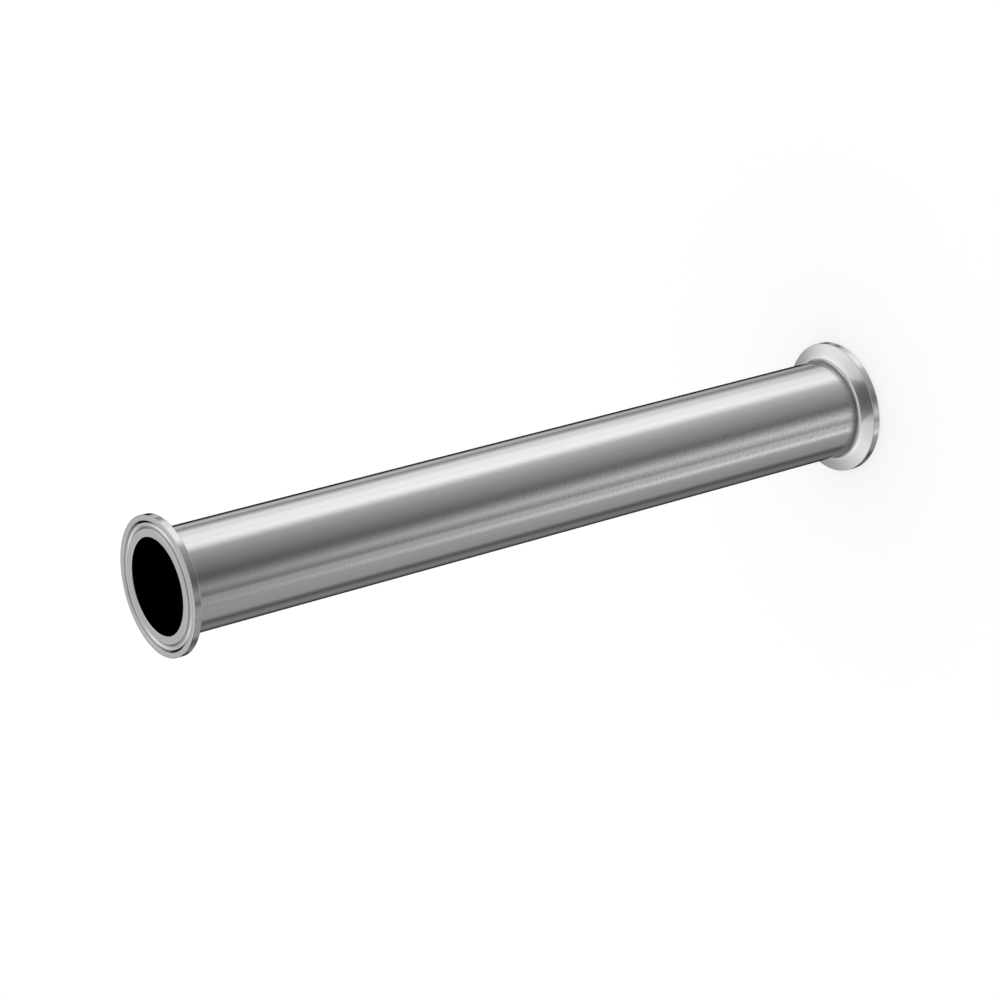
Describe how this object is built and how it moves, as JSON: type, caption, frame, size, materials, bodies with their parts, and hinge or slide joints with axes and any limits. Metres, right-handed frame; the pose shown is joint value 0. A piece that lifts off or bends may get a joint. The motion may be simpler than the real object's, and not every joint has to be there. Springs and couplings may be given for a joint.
{
  "type": "pipe nipple",
  "caption": "Straight stainless pipe nipple with a hygienic clamp flange at each end, a gasket groove in each end face and an open bore.",
  "frame": {"origin": "centre of the end face that the nipple stands on", "axes": "+Z along the tube's axis, up towards the other end face; the part is round, so +X and +Y are free"},
  "size_m": [0.0506, 0.0506, 0.3048],
  "materials": {
    "polished_steel": "ground and polished stainless steel, satin bright, with fine marks round the tube"
  },
  "bodies": {
    "root": {"pipe_nipple": "polished_steel"}
  },
  "joints": []
}
